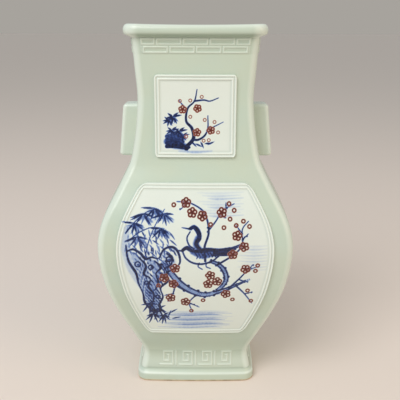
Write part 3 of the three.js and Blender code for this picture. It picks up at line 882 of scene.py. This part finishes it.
def painted_material():
    material, tree, shader = new_material("painted_white_glaze", 0.2)
    place = add_node(tree, "ShaderNodeTexCoord").outputs["Object"]
    groove_shade = add_node(tree, "ShaderNodeAttribute", {"attribute_name": "groove_shade"}).outputs["Fac"]
    line = add_node(tree, "ShaderNodeAttribute", {"attribute_name": "line"}).outputs["Fac"]
    cobalt = add_node(tree, "ShaderNodeAttribute", {"attribute_name": "cobalt"}).outputs["Fac"]
    iron = add_node(tree, "ShaderNodeAttribute", {"attribute_name": "iron"}).outputs["Fac"]

    cloud = add_node(tree, "ShaderNodeTexNoise", None, {
        "Vector": place, "Scale": 1 / (WHITE_CLOUD_MM * MM), "Detail": 3.0,
    })
    colour = add_node(tree, "ShaderNodeMix", {"data_type": "RGBA"}, {
        0: cloud.outputs["Fac"], 6: WHITE, 7: WHITE_CLOUD,
    }).outputs[2]
    # Painted shade in the grooves beside the raised lines.
    groove_shade_share = add_node(tree, "ShaderNodeMapRange", None, {"Value": groove_shade, "To Max": 0.45})
    colour = add_node(tree, "ShaderNodeMix", {"data_type": "RGBA"}, {
        0: groove_shade_share.outputs["Result"], 6: colour, 7: WHITE_GROOVE_SHADE,
    }).outputs[2]
    line_share = add_node(tree, "ShaderNodeMapRange", None, {"Value": line, "To Max": 0.7})
    colour = add_node(tree, "ShaderNodeMix", {"data_type": "RGBA"}, {
        0: line_share.outputs["Result"], 6: colour, 7: WHITE_LINE,
    }).outputs[2]

    # Cobalt lies unevenly: a fine grain makes some of each stroke thinner.
    speckle = add_node(tree, "ShaderNodeTexNoise", None, {
        "Vector": place, "Scale": 1 / (GRAIN_MM * MM), "Detail": 2.0,
    })
    grain = add_node(tree, "ShaderNodeMapRange", None, {
        "Value": speckle.outputs["Fac"], "From Min": 0.3, "From Max": 0.7, "To Min": 0.82, "To Max": 1.08,
    })
    depth = add_node(tree, "ShaderNodeMath", {"operation": "MULTIPLY", "use_clamp": True}, {
        0: cobalt, 1: grain.outputs["Result"],
    }).outputs[0]
    blue = add_node(tree, "ShaderNodeValToRGB", None, {"Fac": depth})
    set_colours(blue, COBALT_BY_THICKNESS)
    blue_share = add_node(tree, "ShaderNodeMapRange", None, {"Value": depth, "From Max": 0.3})
    colour = add_node(tree, "ShaderNodeMix", {"data_type": "RGBA"}, {
        0: blue_share.outputs["Result"], 6: colour, 7: blue.outputs["Color"],
    }).outputs[2]

    red = add_node(tree, "ShaderNodeValToRGB", None, {"Fac": iron})
    set_colours(red, IRON_BY_THICKNESS)
    red_share = add_node(tree, "ShaderNodeMapRange", None, {"Value": iron, "From Max": 0.45})
    colour = add_node(tree, "ShaderNodeMix", {"data_type": "RGBA"}, {
        0: red_share.outputs["Result"], 6: colour, 7: red.outputs["Color"],
    }).outputs[2]
    tree.links.new(colour, shader.inputs["Base Color"])
    glaze_skin(tree, shader, 0.03, 5.0)
    return material


painted = painted_material()
for piece in panels:
    piece.data.materials.append(painted)
print("painting on", len(panels), "panels")

# %% [markdown]
# The base slab stays the CAD solid. It is seen down the mouth and from below: raw buff porcelain
# with a thin runny glaze, so it gets a mottled satin finish.

# %% Base slab
RAW_PORCELAIN = linear("#cfcdb8")
RUNNY_GLAZE = linear("#b9a985")
MOTTLE_MM = 14


def slab_material():
    material, tree, shader = new_material("raw_porcelain_slab", 0.5)
    place = add_node(tree, "ShaderNodeTexCoord").outputs["Object"]
    mottle = add_node(tree, "ShaderNodeTexNoise", None, {
        "Vector": place, "Scale": 1 / (MOTTLE_MM * MM), "Detail": 3.0,
    })
    colour = add_node(tree, "ShaderNodeMix", {"data_type": "RGBA"}, {
        0: mottle.outputs["Fac"], 6: RAW_PORCELAIN, 7: RUNNY_GLAZE,
    }).outputs[2]
    tree.links.new(colour, shader.inputs["Base Color"])
    glaze_skin(tree, shader, 0.2, 3.0)
    return material


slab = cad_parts["base_slab"]
slab.data.materials.clear()
slab.data.materials.append(slab_material())

# %% [markdown]
# A pale floor and soft light from large panels: the main one high on the left, a weaker warm one
# on the right, and an even pale surround. The level is set so that a colour renders about as it
# is written. Seen by the camera, the surround has the far floor's grey, so no horizon shows.

# %% Floor, lamps and surround
FLOOR_SIZE = 80.0
SURROUND = linear("#b3b6b6")
BACKDROP = linear("#a7a39d")

floor_mesh = bpy.data.meshes.new("floor")
reach = FLOOR_SIZE / 2
corners = [(-reach, -reach, 0), (reach, -reach, 0), (reach, reach, 0), (-reach, reach, 0)]
floor_mesh.from_pydata(corners, [], [(0, 1, 2, 3)])
floor = bpy.data.objects.new("floor", floor_mesh)
bpy.context.collection.objects.link(floor)
floor_material, _, floor_shader = new_material("pale_studio_floor", 0.9)
floor_shader.inputs["Base Color"].default_value = linear("#efe2d9")
floor_mesh.materials.append(floor_material)


def soft_lamp(name, place, size, power, colour):
    data = bpy.data.lights.new(name, "AREA")
    data.size = size
    data.energy = power
    data.color = linear(colour)[:3]
    lamp = bpy.data.objects.new(name, data)
    bpy.context.collection.objects.link(lamp)
    lamp.location = place
    aim = Vector((0, 0, 0.2)) - Vector(place)
    lamp.rotation_euler = aim.to_track_quat("-Z", "Y").to_euler()
    return lamp


soft_lamp("key_lamp", (-0.9, -1.3, 1.7), 1.3, 27, "#fffefd")
soft_lamp("fill_lamp", (1.4, -0.9, 0.9), 1.2, 7, "#ffe2bc")

world = bpy.data.worlds.new("surround")
bpy.context.scene.world = world
world.use_nodes = True
sky = world.node_tree
background = sky.nodes["Background"]
rays = add_node(sky, "ShaderNodeLightPath")
seen = add_node(sky, "ShaderNodeMath", {"operation": "MAXIMUM"}, {
    0: rays.outputs["Is Camera Ray"], 1: rays.outputs["Is Transmission Ray"],
})
shade = add_node(sky, "ShaderNodeMix", {"data_type": "RGBA"}, {0: seen.outputs[0], 6: SURROUND, 7: BACKDROP})
sky.links.new(shade.outputs[2], background.inputs["Color"])

bpy.context.scene.view_settings.view_transform = "Standard"
